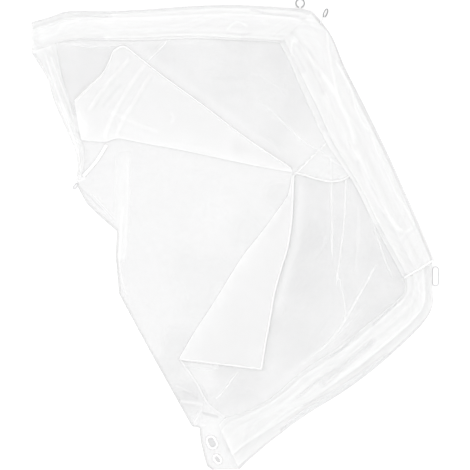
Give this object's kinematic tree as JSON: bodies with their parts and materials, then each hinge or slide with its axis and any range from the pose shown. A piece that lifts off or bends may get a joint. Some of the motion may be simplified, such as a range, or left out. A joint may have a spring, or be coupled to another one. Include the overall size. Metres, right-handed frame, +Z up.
{
  "type": "mosquito net",
  "caption": "Sheer camping mosquito net laid out flat: back panel, door panels folded open at the entrance, walls gathered along the edges, hanging rings and corner loops.",
  "frame": {"origin": "centre of the laid-out net's footprint, on the ground", "axes": "+Z up from the ground, +Y along the longer side of the footprint towards the wall with the rings, +X to the right"},
  "size_m": [1.7334, 2.004, 0.0423],
  "materials": {
    "back_netting": "sheer white polyester netting, single layer",
    "door_netting": "sheer white polyester netting with a sewn hem",
    "wall_netting": "sheer white polyester netting gathered in folds",
    "tape": "white woven tape",
    "cord": "grey braided cord",
    "ring_steel": "nickel-plated steel wire"
  },
  "bodies": {
    "root": {"back_panel": "back_netting", "lower_door": "door_netting", "upper_door": "door_netting", "top_wall": "wall_netting", "right_wall": "wall_netting", "bottom_wall": "wall_netting", "left_wall": "wall_netting", "stay_tape": "tape", "ring_flat": "ring_steel", "ring_flat_tab": "tape", "ring_leaning": "ring_steel", "ring_leaning_tab": "tape", "loop_right": "cord", "loop_left": "cord", "loop_bottom_upper": "tape", "loop_bottom_lower": "tape"}
  },
  "joints": []
}
